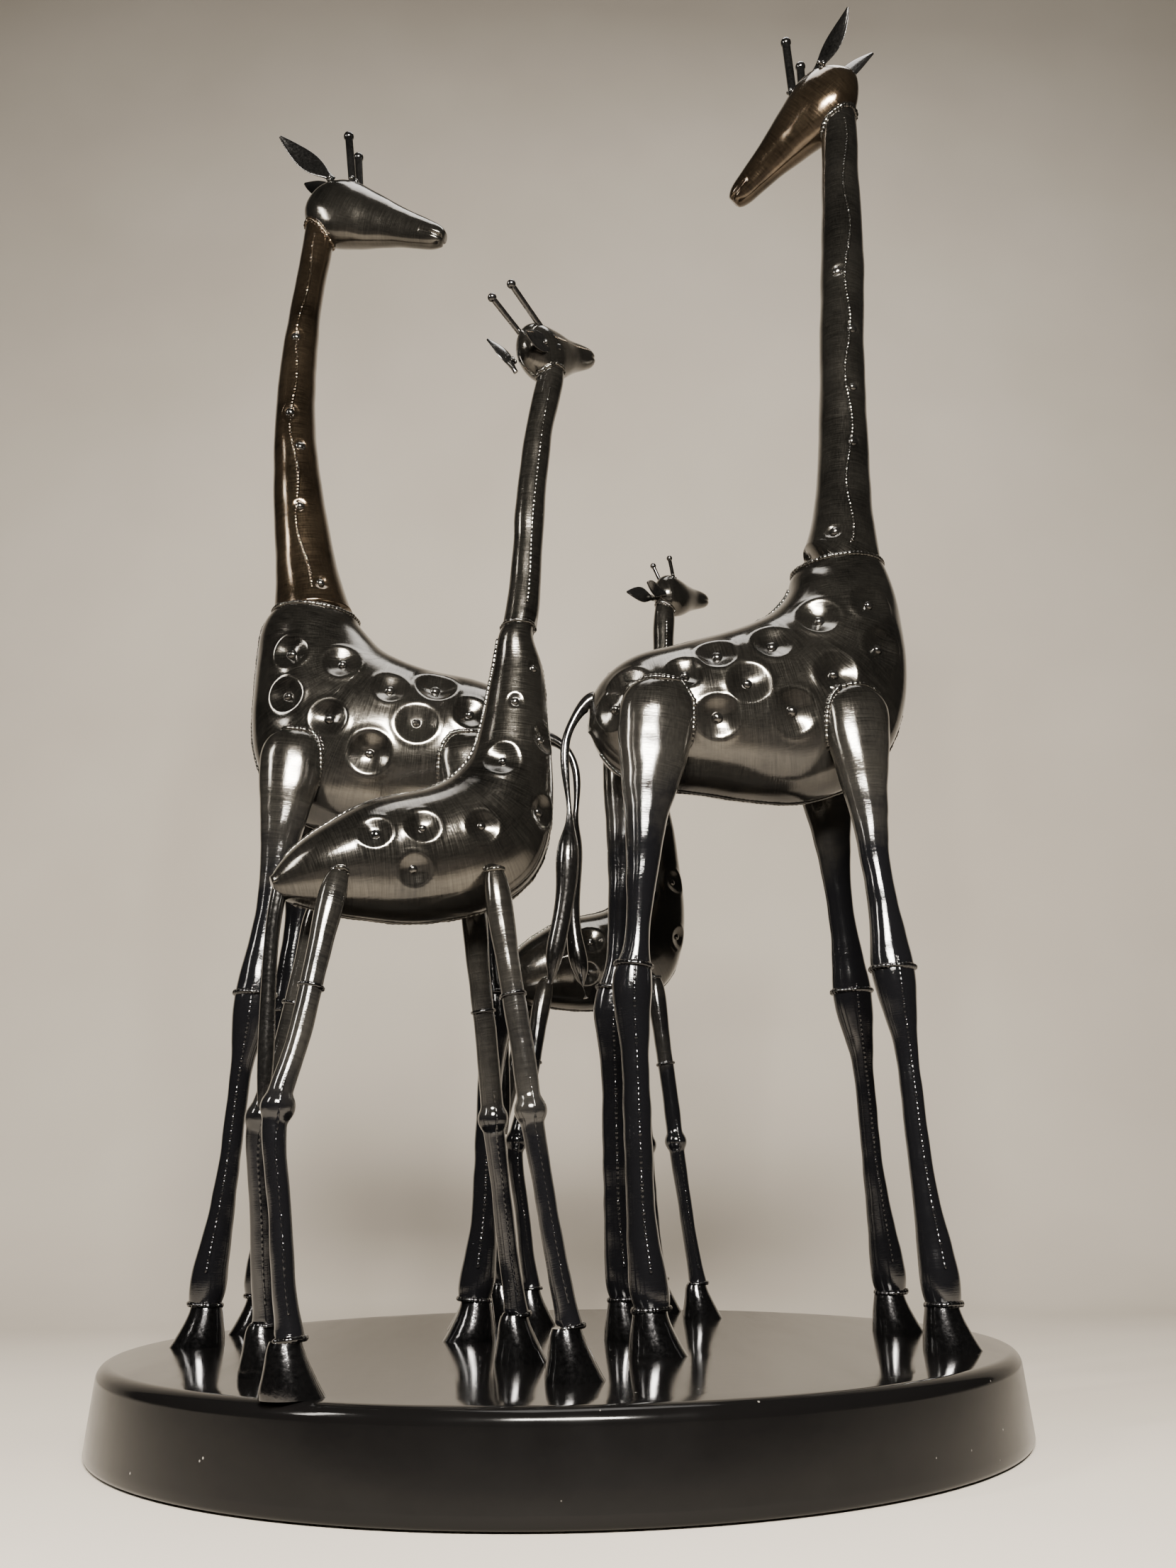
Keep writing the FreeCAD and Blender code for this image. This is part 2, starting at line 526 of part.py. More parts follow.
def make_hooves(giraffe, end):
    pair = []
    for leg in sorted(STANCES[giraffe]):
        if end not in leg:
            continue
        hoof_x, hoof_y, _, _ = STANCES[giraffe][leg]
        sections = []
        for index, (height, ahead, deep, wide) in enumerate(HOOF_SHAPES[SIZE_OF[giraffe]]):
            key = "%s_hoof_%s_%d" % (giraffe, leg, index)
            sections.append(oval(key, V(hoof_x + ahead, hoof_y, height), BACKWARD, UPWARD, deep, wide))
        cup = loft("%s_hoof_%s" % (giraffe, leg), sections)
        hole = doc.addObject("Part::Cylinder", "%s_hoof_hole_%s" % (giraffe, leg))
        bind(hole, "Radius", "Sizes.screw_shank_radius")
        bind(hole, "Height", "Sizes.board_thickness + Sizes.screw_reach_in_hoof")
        hole.Placement.Base = V(hoof_x, hoof_y, 0)
        pair.append(subtract("%s_hoof_bored_%s" % (giraffe, leg), cup, [hole]))
    node = "%s_hooves_%s" % (giraffe, end)
    stand(group(node + "_pair", pair), node, giraffe)


def flank(outline, along, up):
    """How far out from the middle plane the skin is at this place in the side view."""
    nearest = None
    for first, second in zip(outline, outline[1:]):
        for step in range(FLANK_STEPS):
            share = step / FLANK_STEPS
            back_x, back_z, front_x, front_z, wide = [
                start + (end - start) * share for start, end in zip(first, second)]
            reach = V(back_x - front_x, 0, back_z - front_z)
            deep = reach.Length
            offset = V(along - (back_x + front_x) / 2, 0, up - (back_z + front_z) / 2)
            place = offset.dot(reach) / deep / (deep / 2)
            miss = offset.cross(reach).Length / deep
            if nearest is None or miss < nearest[0]:
                nearest = (miss, place, wide)
    _, place, wide = nearest
    return wide / 2 * math.sqrt(max(0.0, 1 - place * place))


def surface_at(outline, along, up, side):
    """The skin's point at this place in the side view, and the way it faces."""
    ahead = flank(outline, along + 1, up) - flank(outline, along - 1, up)
    above = flank(outline, along, up + 1) - flank(outline, along, up - 1)
    facing = V(-ahead / 2, side, -above / 2)
    return V(along, side * (flank(outline, along, up) - BEAD_SINK), up), facing


def make_beads(giraffe):
    """Domes of weld metal, their flat side a little under the surface."""
    beads = []
    for index, (along, up) in enumerate(BEADS[giraffe]):
        for side, word in ((1, "left"), (-1, "right")):
            outline = BODIES[giraffe] if up < BODIES[giraffe][-1][1] else NECKS[giraffe]
            point, facing = surface_at(outline, along, up, side)
            bead = doc.addObject("Part::Sphere", "%s_bead_%s_%d" % (giraffe, word, index))
            bind(bead, "Radius", "Sizes.%s_bead_radius" % SIZE_OF[giraffe])
            bead.Angle1 = 0.0
            turn = FreeCAD.Rotation(V(0, 0, 1), facing)
            bead.Placement = FreeCAD.Placement(point, turn)
            beads.append(bead)
    stand(group(giraffe + "_beads_all", beads), giraffe + "_beads", giraffe)


def make_giraffe(giraffe):
    body_sections = side_view_sections(giraffe + "_body", BODIES[giraffe])
    body = loft(giraffe + "_body_solid", body_sections)
    for side, word in ((1, "left"), (-1, "right")):
        half = half_shell("%s_body_half_%s" % (giraffe, word), body_sections, side)
        stand(half, "%s_body_%s" % (giraffe, word), giraffe)
    head_ovals = head_sections(giraffe)
    head = loft(giraffe + "_head_solid", head_ovals)
    head_hollow = loft(giraffe + "_head_hollow", head_ovals[1:-1], WALL)
    stand(subtract(giraffe + "_head_shell", head, [head_hollow]), giraffe + "_head", giraffe)
    neck_sections = side_view_sections(giraffe + "_neck", NECKS[giraffe])
    neck = loft(giraffe + "_neck_solid", neck_sections)
    neck_hollow = loft(giraffe + "_neck_hollow", neck_sections, WALL)
    stand(subtract(giraffe + "_neck_tube", neck, [neck_hollow, head]), giraffe + "_neck", giraffe)
    make_horns(giraffe, head)
    make_ears(giraffe, head)
    make_tail(giraffe, body)
    for leg in STANCES[giraffe]:
        make_leg(giraffe, leg, body)
    for end in ("front", "rear"):
        make_hooves(giraffe, end)
    make_beads(giraffe)


def make_board():
    """A round board with a rounded top edge and countersunk holes under the hooves."""
    board = doc.addObject("PartDesign::Body", "board_body")
    sketch = board.newObject("Sketcher::SketchObject", "board_profile")
    sketch.Placement = FreeCAD.Placement(V(0, 0, 0), FreeCAD.Rotation(V(1, 0, 0), 90))
    corners = [V(0, 0, 0), V(BOARD_R, 0, 0), V(BOARD_TOP_R, BOARD_THICK, 0), V(0, BOARD_THICK, 0)]
    for index, corner in enumerate(corners):
        sketch.addGeometry(Part.LineSegment(corner, corners[(index + 1) % 4]), False)
    for index in range(4):
        sketch.addConstraint(Sketcher.Constraint("Coincident", index, 2, (index + 1) % 4, 1))
    sketch.addConstraint(Sketcher.Constraint("Coincident", 0, 1, -1, 1))
    sketch.addConstraint(Sketcher.Constraint("Horizontal", 0))
    sketch.addConstraint(Sketcher.Constraint("Horizontal", 2))
    sketch.addConstraint(Sketcher.Constraint("Vertical", 3))
    widths = (("board_bottom_radius", 0, 1, 2, BOARD_R), ("board_top_radius", 2, 2, 1, BOARD_TOP_R))
    for alias, line, start, end, value in widths:
        number = sketch.addConstraint(Sketcher.Constraint("DistanceX", line, start, line, end, value))
        sketch.setExpression("Constraints[%d]" % number, "Sizes." + alias)
    number = sketch.addConstraint(Sketcher.Constraint("DistanceY", 3, 2, 3, 1, BOARD_THICK))
    sketch.setExpression("Constraints[%d]" % number, "Sizes.board_thickness")
    turned = board.newObject("PartDesign::Revolution", "board_turned")
    turned.Profile = sketch
    turned.ReferenceAxis = (sketch, ["V_Axis"])
    turned.Angle = 360.0
    sheet.recompute()
    sketch.recompute()
    turned.recompute()
    rim = [
        "Edge%d" % (index + 1)
        for index, edge in enumerate(turned.Shape.Edges)
        if edge.BoundBox.ZMin > BOARD_THICK - 0.1 and edge.BoundBox.XLength > BOARD_R
    ]
    rounded = board.newObject("PartDesign::Fillet", "board_rounded")
    rounded.Base = (turned, rim)
    bind(rounded, "Radius", "Sizes.board_edge_round")
    holes = []
    screws = []
    for giraffe, (place_x, place_y, heading) in GIRAFFES.items():
        turn = FreeCAD.Rotation(V(0, 0, 1), heading)
        for leg, (hoof_x, hoof_y, _, _) in STANCES[giraffe].items():
            spot = V(place_x, place_y, 0) + turn.multVec(V(hoof_x, hoof_y, 0))
            holes.append(screw_blank("hole_%s_%s" % (giraffe, leg), spot))
            screws.append(screw_blank("screw_%s_%s" % (giraffe, leg), spot))
    stand(subtract("board_drilled", board, [group("board_holes", holes)]), "base_board")
    stand(group("screws_all", screws), "hoof_screws")


def check_and_write():
    doc.recompute()
    bad = [obj.Name for obj in doc.Objects if "Invalid" in obj.State or "Error" in obj.State]
    for obj in NODES:
        if obj.Shape.isNull() or not obj.Shape.isValid() or not obj.Shape.Solids:
            bad.append(obj.Label)
    if bad:
        raise SystemExit("these objects failed: %s" % ", ".join(bad))
    os.makedirs("parts", exist_ok=True)
    for obj in NODES:
        obj.Shape.exportStep("parts/%s.step" % obj.Label)
    print("%d sub-parts written" % len(NODES))


for one in GIRAFFES:
    make_giraffe(one)
make_board()
check_and_write()
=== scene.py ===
import math

import bpy
import numpy as np
from mathutils import Matrix, Vector, noise
from mathutils.bvhtree import BVHTree


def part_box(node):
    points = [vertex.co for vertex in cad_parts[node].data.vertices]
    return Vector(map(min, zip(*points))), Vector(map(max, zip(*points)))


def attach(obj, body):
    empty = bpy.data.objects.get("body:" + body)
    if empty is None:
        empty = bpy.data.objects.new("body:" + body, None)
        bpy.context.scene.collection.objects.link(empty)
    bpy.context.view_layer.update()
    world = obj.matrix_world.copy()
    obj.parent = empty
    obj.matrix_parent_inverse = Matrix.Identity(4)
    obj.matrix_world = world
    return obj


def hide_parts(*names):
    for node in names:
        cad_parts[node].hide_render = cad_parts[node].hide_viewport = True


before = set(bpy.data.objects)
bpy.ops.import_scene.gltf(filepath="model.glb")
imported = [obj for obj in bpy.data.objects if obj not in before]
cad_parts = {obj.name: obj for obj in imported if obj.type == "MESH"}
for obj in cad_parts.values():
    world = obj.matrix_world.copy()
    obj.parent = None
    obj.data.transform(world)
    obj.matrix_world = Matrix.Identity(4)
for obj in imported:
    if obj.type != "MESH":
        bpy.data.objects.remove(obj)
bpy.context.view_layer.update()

# Looks of a family of four welded sheet steel giraffes on a round lacquered board. Metres, +Z up.
MM = 0.001
GIRAFFES = ("bull", "cow", "front_calf", "rear_calf")
ADULTS = ("bull", "cow")
LEGS = ("leg_front_left", "leg_front_right", "leg_rear_left", "leg_rear_right")
UP = np.array((0.0, 0.0, 1.0))
rng = np.random.default_rng(7)

# How each skin is sampled, for an adult and a calf: step along, columns round, reach of the rays (mm).
SKINS = {
    "body": {"adult": (0.8, 168, 46), "calf": (0.6, 112, 32)},
    "neck": {"adult": (0.9, 72, 30), "calf": (0.9, 44, 16)},
    "head": {"adult": (0.7, 88, 30), "calf": (0.4, 56, 20)},
    "leg": {"adult": (0.8, 48, 22), "calf": (0.8, 32, 12)},
}
# Size and height of the hand-beaten unevenness on each skin (mm).
BEATING = {"body": (16, 0.35), "neck": (12, 0.3), "head": (9, 0.3)}
LEG_BEATING = {"adult": (8, 0.28), "calf": (8, 0.2)}
# Radius of each run of weld (mm).
WELDS = {
    "seam": {"adult": 0.75, "calf": 0.6},
    "neck_foot": {"adult": 0.95, "calf": 0.7},
    "neck_seam": {"adult": 0.8, "calf": 0.5},
    "head": {"adult": 1.3, "calf": 0.8},
    "hip": {"adult": 1.25, "calf": 0.8},
    "leg_seam": {"adult": 0.55, "calf": 0.4},
}
# Ring welds on the legs: height (m) and radius (mm).
LEG_RINGS = {
    "adult": (("knee", 0.145, 1.1), ("fetlock", 0.0385, 1.0)),
    "calf": (("shin", 0.127, 0.7), ("fetlock", 0.0385, 0.8)),
}
LEG_RING_PITCH = 1.3
# Dishes round the weld drops: least and greatest radius (mm), height above which they are small (m).
DISHES = {"adult": (7.0, 9.2, 0.315), "calf": (4.8, 6.2, 0.215)}
NECK_DISH_SHARE = 0.45
DISH_DEPTH_SHARE = (0.29, 0.35)
BEAD_GAP = {"adult": 4.6, "calf": 3.0}
DROP_RADIUS = {"adult": 2.0, "calf": 1.3}
ROOT_BLOB_RADIUS = {"adult": 1.5, "calf": 0.85}
BLOBS_PER_ROOT = 5
MOUTH_SCALE = {"adult": 1.0, "calf": 0.55}
LEG_TRUSTED_SHARE = 0.72
PATH_STEP = 0.4

# Middle line of each body in its own side view, from the rump to the neck seam: along, up in mm.
SPINES = {
    "bull": ((-60.9, 242.5), (-52.8, 242.0), (-31.5, 244.0), (-14.5, 245.7), (3.0, 247.5), (18.7, 251.0),
             (31.0, 259.0), (38.7, 269.0), (42.3, 280.0), (43.0, 291.5), (40.8, 311.2)),
    "cow": ((-69.8, 249.0), (-61.0, 248.5), (-40.0, 249.0), (-25.0, 249.5), (-8.0, 251.0), (5.7, 254.5),
            (17.5, 261.0), (25.0, 271.0), (28.7, 281.7), (29.2, 292.0), (27.3, 311.2)),
    "front_calf": ((-45.3, 159.2), (-37.2, 162.7), (-19.0, 168.2), (-6.0, 170.0), (6.5, 173.3),
                   (17.0, 178.7), (24.0, 186.5), (28.0, 199.0), (28.9, 227.5), (29.5, 253.2)),
    "rear_calf": ((-42.3, 161.5), (-34.7, 165.7), (-17.2, 171.0), (-5.0, 172.5), (8.0, 175.0),
                  (18.2, 179.8), (25.7, 187.5), (30.4, 200.0), (32.0, 228.0), (32.4, 252.7)),
}


# ---------------------------------------------------------------- reading the CAD nodes
def corners_of(*names):
    parts = []
    for name in names:
        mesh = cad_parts[name].data
        flat = np.empty(len(mesh.vertices) * 3)
        mesh.vertices.foreach_get("co", flat)
        parts.append(flat.reshape(-1, 3))
    return np.concatenate(parts)


def tree_of(*names):
    """A search tree over the faces of some CAD nodes."""
    faces = []
    start = 0
    for name in names:
        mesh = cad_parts[name].data
        mesh.calc_loop_triangles()
        flat = np.empty(len(mesh.loop_triangles) * 3, dtype=np.int32)
        mesh.loop_triangles.foreach_get("vertices", flat)
        faces.append(flat.reshape(-1, 3) + start)
        start += len(mesh.vertices)
    return BVHTree.FromPolygons(corners_of(*names).tolist(), np.concatenate(faces).tolist())


def size_of(giraffe):
    return "adult" if giraffe in ADULTS else "calf"


def middle_of(name):
    low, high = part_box(name)
    return (np.array(low) + np.array(high)) / 2


def stance(giraffe):
    """The giraffe's heading and its left, from its hooves."""
    ahead = middle_of(giraffe + "_hooves_front") - middle_of(giraffe + "_hooves_rear")
    ahead[2] = 0.0
    ahead /= np.linalg.norm(ahead)
    left = np.cross(UP, ahead)
    return ahead, left


# ---------------------------------------------------------------- mesh building
def resample(points, step):
    """Points evenly spaced along a line."""
    points = np.asarray(points, dtype=float)
    lengths = np.concatenate(([0.0], np.cumsum(np.linalg.norm(np.diff(points, axis=0), axis=1))))
    count = max(int(lengths[-1] / step), 2)
    places = np.linspace(0.0, lengths[-1], count + 1)
    return np.stack([np.interp(places, lengths, points[:, axis]) for axis in range(3)], axis=1)


def smooth_line(points, rounds):
    """Evens out a line, its ends kept."""
    points = points.copy()
    for _ in range(rounds):
        points[1:-1] = points[1:-1] * 0.5 + (points[:-2] + points[2:]) * 0.25
    return points


def wrap(tree, centres, tangents, count, reach, first_side):
    """Radii at which rays from outside meet the skin, ring by ring; nan where they miss."""
    angles = np.linspace(0.0, 2 * math.pi, count, endpoint=False)
    side = np.asarray(first_side, dtype=float)
    outs = np.empty((len(centres), count, 3))
    radii = np.full((len(centres), count), np.nan)
    for row, (centre, tangent) in enumerate(zip(centres, tangents)):
        side = side - tangent * side.dot(tangent)
        side /= np.linalg.norm(side)
        lift = np.cross(side, tangent)
        outs[row] = np.cos(angles)[:, None] * lift + np.sin(angles)[:, None] * side
        for column in range(count):
            out = outs[row, column]
            hit = tree.ray_cast(Vector(centre + out * reach), Vector(-out), reach)
            if hit[0] is not None:
                radii[row, column] = reach - hit[3]
    return outs, radii


def fill_misses(radii):
    """Misses take the radius of the ring before, or of the ring after at the start."""
    filled = radii.copy()
    for row in range(1, len(filled)):
        gap = np.isnan(filled[row])
        filled[row][gap] = filled[row - 1][gap]
    for row in range(len(filled) - 2, -1, -1):
        gap = np.isnan(filled[row])
        filled[row][gap] = filled[row + 1][gap]
    return np.nan_to_num(filled, nan=MM)


def relax(grid, rounds):
    """Evens out a grid that is closed across and open along."""
    for _ in range(rounds):
        around = (np.roll(grid, 1, axis=1) + np.roll(grid, -1, axis=1)) * 0.5
        along = grid.copy()
        along[1:-1] = (grid[:-2] + grid[2:]) * 0.5
        grid[1:-1] = grid[1:-1] * 0.4 + around[1:-1] * 0.3 + along[1:-1] * 0.3
    return grid


def grid_normals(grid):
    along = np.gradient(grid, axis=0)
    across = np.roll(grid, -1, axis=1) - np.roll(grid, 1, axis=1)
    normals = np.cross(across, along)
    normals /= np.linalg.norm(normals, axis=2, keepdims=True) + 1e-12
    outward = grid - grid.mean(axis=1, keepdims=True)
    flip = np.sign((normals * outward).sum(axis=2, keepdims=True))
    return normals * np.where(flip == 0, 1, flip)


def grid_piece(name, grid, material, capped=True):
    """A mesh from rings of points, with how far along and around it, in metres, as its UV map."""
    rows, columns = grid.shape[:2]
    points = grid.reshape(-1, 3).tolist()
    faces = []
    for row in range(rows - 1):
        for column in range(columns):
            after = (column + 1) % columns
            faces.append((row * columns + column, row * columns + after,
                          (row + 1) * columns + after, (row + 1) * columns + column))
    if capped:
        for row, order in ((0, -1), (rows - 1, 1)):
            points.append(grid[row].mean(axis=0).tolist())
            tip = len(points) - 1
            for column in range(columns):
                after = (column + 1) % columns
                edge = (row * columns + column, row * columns + after, tip)
                faces.append(edge[::order])
    mesh = bpy.data.meshes.new(name)
    mesh.from_pydata(points, [], faces)
    along = np.concatenate(([0.0], np.cumsum(np.linalg.norm(np.diff(grid, axis=0), axis=2).mean(axis=1))))
    span = np.linalg.norm(np.roll(grid, -1, axis=1) - grid, axis=2).sum(axis=1)
    round_way = span.mean() / columns
    layer = mesh.uv_layers.new(name="UVMap")
    uvs = []
    for face in faces:
        wrapped = any(corner % columns == 0 for corner in face[:4]) and any(
            corner % columns == columns - 1 for corner in face[:4])
        for corner in face:
            if corner >= rows * columns:
                uvs.extend((along[0] if corner == rows * columns else along[-1], 0.0))
                continue
            row, column = divmod(corner, columns)
            if wrapped and column == 0:
                column = columns
            uvs.extend((along[row], column * round_way))
    layer.data.foreach_set("uv", uvs)
    return finish_piece(name, mesh, material)


def finish_piece(name, mesh, material):
    mesh.update()
    mesh.materials.append(material)
    for polygon in mesh.polygons:
        polygon.use_smooth = True
    piece = bpy.data.objects.new(name, mesh)
    bpy.context.scene.collection.objects.link(piece)
    return piece


def settle(piece, slot_name, *nodes):
    """Put a finished piece on the object's one body, in place of its CAD nodes."""
    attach(piece, "root")
    if nodes:
        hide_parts(*nodes)


def clusters(points, gap):
    """Middles of separate small lumps in a cloud of points."""
    left = points
    middles = []
    while len(left):
        near = np.linalg.norm(left - left[0], axis=1) < gap
        middles.append((left[near].min(axis=0) + left[near].max(axis=0)) / 2)
        left = left[~near]
    return middles


def dish(grid, spots):
    """Press soft round dishes into a skin and leave a faint rim round each."""
    normals = grid_normals(grid)
    moved = grid.copy()
    for middle, radius, depth in spots:
        away = np.linalg.norm(grid - middle, axis=2) / radius
        bowl = np.where(away < 1.0, (1.0 - np.minimum(away, 1.0) ** 2) ** 1.35, 0.0)
        rim = np.exp(-((away - 1.1) / 0.14) ** 2) * 0.10
        moved -= normals * ((bowl - rim) * depth)[:, :, None]
    return moved


def rumple(grid, size, height, seed):
    """Hand-beaten unevenness: soft swellings over a skin."""
    normals = grid_normals(grid)
    offset = Vector((seed * 3.1, seed * 1.7, seed * 2.3))
    swell = np.array([noise.noise(Vector(point) / size + offset) for point in grid.reshape(-1, 3).tolist()])
    return grid + normals * (swell.reshape(grid.shape[:2]) * height)[:, :, None]


def weld(name, path, radius, material, closed=False, pitch=1.7 * MM, seed=1, sides=9):
    """A rippled run of weld metal along a line of points."""
    if closed:
        path = np.concatenate((path, path[:1]))
    path = resample(path, PATH_STEP * MM)
    tangents = np.gradient(path, axis=0)
    tangents /= np.linalg.norm(tangents, axis=1, keepdims=True) + 1e-12
    side = np.cross(tangents[0], (0.31, 0.52, 0.79))
    rings = []
    angles = np.linspace(0.0, 2 * math.pi, sides, endpoint=False)
    for row, (point, tangent) in enumerate(zip(path, tangents)):
        side = side - tangent * side.dot(tangent)
        side /= np.linalg.norm(side)
        lift = np.cross(side, tangent)
        ripple = abs(math.sin(math.pi * row * PATH_STEP * MM / pitch + seed))
        swell = noise.noise(Vector(point) / (4 * MM) + Vector((seed, 0, 0)))
        size = radius * (0.72 + 0.3 * ripple + 0.35 * swell)
        ring = []
        for angle in angles:
            out = lift * math.cos(angle) + side * math.sin(angle)
            lump = noise.noise(Vector(point + out * radius) / (1.5 * MM))
            ring.append(point + out * size * (1 + 0.14 * lump))
        rings.append(ring)
    return grid_piece(name, np.array(rings), material)


def lump_mesh(spots, material, name, rings=9, sides=14):
    """Many small melted drops in one mesh: middle, facing, radius, height."""
    points = []
    faces = []
    for middle, facing, radius, height in spots:
        facing = np.asarray(facing) / np.linalg.norm(facing)
        side = np.cross(facing, (0.21, 0.63, 0.74))
        side /= np.linalg.norm(side)
        lift = np.cross(facing, side)
        start = len(points)
        for row in range(rings):
            tilt = math.pi * row / (rings - 1)
            for column in range(sides):
                angle = 2 * math.pi * column / sides
                out = (side * math.cos(angle) + lift * math.sin(angle)) * math.sin(tilt) * radius
                point = np.asarray(middle) + out + facing * math.cos(tilt) * height
                wobble = noise.noise(Vector(point) / (1.6 * MM)) * 0.12
                points.append((point + (point - middle) * wobble).tolist())
        for row in range(rings - 1):
            for column in range(sides):
                after = (column + 1) % sides
                base = start + row * sides
                faces.append((base + column, base + sides + column, base + sides + after, base + after))
    mesh = bpy.data.meshes.new(name)
    mesh.from_pydata(points, [], faces)
    return finish_piece(name, mesh, material)


# ---------------------------------------------------------------- materials
class Nodes:
    """Short hand for building a node material."""

    def __init__(self, name):
        self.material = bpy.data.materials.new(name)
        self.material.use_nodes = True
        self.tree = self.material.node_tree
        self.shader = self.tree.nodes["Principled BSDF"]

    def add(self, kind, **settings):
        node = self.tree.nodes.new(kind)
        for key, value in settings.items():
            setattr(node, key, value)
        return node

    def link(self, source, target):
        self.tree.links.new(source, target)

    def spot(self, kind):
        return self.add("ShaderNodeTexCoord").outputs[kind]

    def stretched(self, vector, scale):
        mapping = self.add("ShaderNodeMapping")
        mapping.inputs["Scale"].default_value = scale
        self.link(vector, mapping.inputs["Vector"])
        return mapping.outputs["Vector"]

    def noise(self, vector, scale, detail=3.0, rough=0.55):
        texture = self.add("ShaderNodeTexNoise")
        texture.inputs["Scale"].default_value = scale
        texture.inputs["Detail"].default_value = detail
        texture.inputs["Roughness"].default_value = rough
        self.link(vector, texture.inputs["Vector"])
        return texture.outputs["Fac"]

    def span(self, value, low, high, to_low, to_high):
        ramp = self.add("ShaderNodeMapRange")
        numbers = {"From Min": low, "From Max": high, "To Min": to_low, "To Max": to_high}
        for socket, number in numbers.items():
            ramp.inputs[socket].default_value = number
        self.link(value, ramp.inputs["Value"])
        return ramp.outputs["Result"]

    def math(self, operation, first, second):
        node = self.add("ShaderNodeMath", operation=operation)
        for socket, value in zip(node.inputs, (first, second)):
            if isinstance(value, (int, float)):
                socket.default_value = value
            else:
                self.link(value, socket)
        return node.outputs[0]

    def mix(self, share, first, second):
        node = self.add("ShaderNodeMix", data_type="RGBA")
        sockets = [socket for socket in node.inputs if socket.enabled]
        for socket, value in zip(sockets, (share, first, second)):
            if isinstance(value, (int, float)):
                socket.default_value = value
            elif isinstance(value, tuple):
                socket.default_value = (*value, 1.0)
            else:
                self.link(value, socket)
        return [socket for socket in node.outputs if socket.enabled][0]

    def bump(self, height, distance, strength=1.0, under=None):
        node = self.add("ShaderNodeBump")
        node.inputs["Distance"].default_value = distance
        node.inputs["Strength"].default_value = strength
        self.link(height, node.inputs["Height"])
        if under is not None:
            self.link(under, node.inputs["Normal"])
        return node.outputs["Normal"]

    def set(self, **values):
        for key, value in values.items():
            socket = self.shader.inputs[key.replace("_", " ")]
            if isinstance(value, (int, float)):
                socket.default_value = value
            elif isinstance(value, tuple):
                socket.default_value = (*value, 1.0)
            else:
                self.link(value, socket)


METAL_SHARE = 0.94


def steel(name, bright, dark, fade=None, has_uv=True):
    """Brushed blackened steel under clear lacquer, turning to gloss black paint lower down."""
    nodes = Nodes(name)
    place = nodes.spot("Object")
    skin = nodes.spot("UV") if has_uv else place
    grain_scale = (2600.0, 90.0, 1.0) if has_uv else (900.0, 900.0, 900.0)
    cross_scale = (300.0, 1900.0, 1.0) if has_uv else (700.0, 300.0, 1500.0)
    grain = nodes.noise(nodes.stretched(skin, grain_scale), 1.0, 4.0, 0.65)
    cross = nodes.noise(nodes.stretched(skin, cross_scale), 1.0, 3.0)
    cloud = nodes.noise(place, 38.0, 4.0)
    fine = nodes.noise(place, 900.0, 2.0)
    brushed = nodes.math("ADD", nodes.math("MULTIPLY", grain, 0.7), nodes.math("MULTIPLY", cross, 0.3))
    tone = nodes.math("ADD", nodes.math("MULTIPLY", brushed, 0.55), nodes.math("MULTIPLY", cloud, 0.45))
    colour = nodes.mix(nodes.span(tone, 0.34, 0.66, 0.0, 1.0), dark, bright)
    metal = METAL_SHARE
    rough = nodes.span(brushed, 0.3, 0.7, 0.10, 0.22)
    if fade:
        split = nodes.add("ShaderNodeSeparateXYZ")
        nodes.link(place, split.inputs[0])
        wander = nodes.math("ADD", split.outputs["Z"], nodes.span(cloud, 0.3, 0.7, -0.02, 0.02))
        painted = nodes.span(wander, fade[0], fade[1], 1.0, 0.0)
        colour = nodes.mix(painted, colour, (0.006, 0.006, 0.007))
        metal = nodes.math("SUBTRACT", METAL_SHARE, nodes.math("MULTIPLY", painted, 0.55))
        rough = nodes.math("SUBTRACT", rough, nodes.math("MULTIPLY", painted, 0.06))
    scratched = nodes.bump(brushed, 0.05 * MM, 0.8)
    peel = nodes.bump(fine, 0.05 * MM, 0.35, scratched)
    nodes.set(Base_Color=colour, Metallic=metal, Roughness=rough, Normal=scratched, Coat_Weight=0.75,
              Coat_Roughness=0.05, Coat_IOR=1.5, Specular_IOR_Level=0.5)
    nodes.link(peel, nodes.shader.inputs["Coat Normal"])
    return nodes.material


def board_lacquer():
    """Black gloss paint with orange peel, faint wipe marks and dust."""
    nodes = Nodes("board_lacquer")
    place = nodes.spot("Object")
    peel = nodes.noise(place, 260.0, 2.0)
    wiped = nodes.noise(nodes.stretched(place, (60.0, 9.0, 60.0)), 1.0, 4.0)
    dots = nodes.add("ShaderNodeTexVoronoi", feature="F1")
    dots.inputs["Scale"].default_value = 150.0
    nodes.link(place, dots.inputs["Vector"])
    patch = nodes.noise(place, 24.0, 2.0)
    speck = nodes.span(dots.outputs["Distance"], 0.03, 0.055, 1.0, 0.0)
    dusty = nodes.math("MULTIPLY", speck, nodes.span(patch, 0.52, 0.62, 0.0, 1.0))
    colour = nodes.mix(dusty, (0.0030, 0.0028, 0.0028), (0.30, 0.28, 0.25))
    split = nodes.add("ShaderNodeSeparateXYZ")
    nodes.link(place, split.inputs[0])
    side = nodes.span(split.outputs["Z"], 0.020, 0.0235, 0.08, 0.0)
    rough = nodes.math("ADD", nodes.span(wiped, 0.35, 0.7, 0.07, 0.16), side)
    rough = nodes.math("ADD", rough, nodes.math("MULTIPLY", dusty, 0.5))
    nodes.set(Base_Color=colour, Roughness=rough, Normal=nodes.bump(peel, 0.06 * MM, 0.25),
              Coat_Weight=0.05, Coat_Roughness=0.06, Specular_IOR_Level=0.20)
    return nodes.material


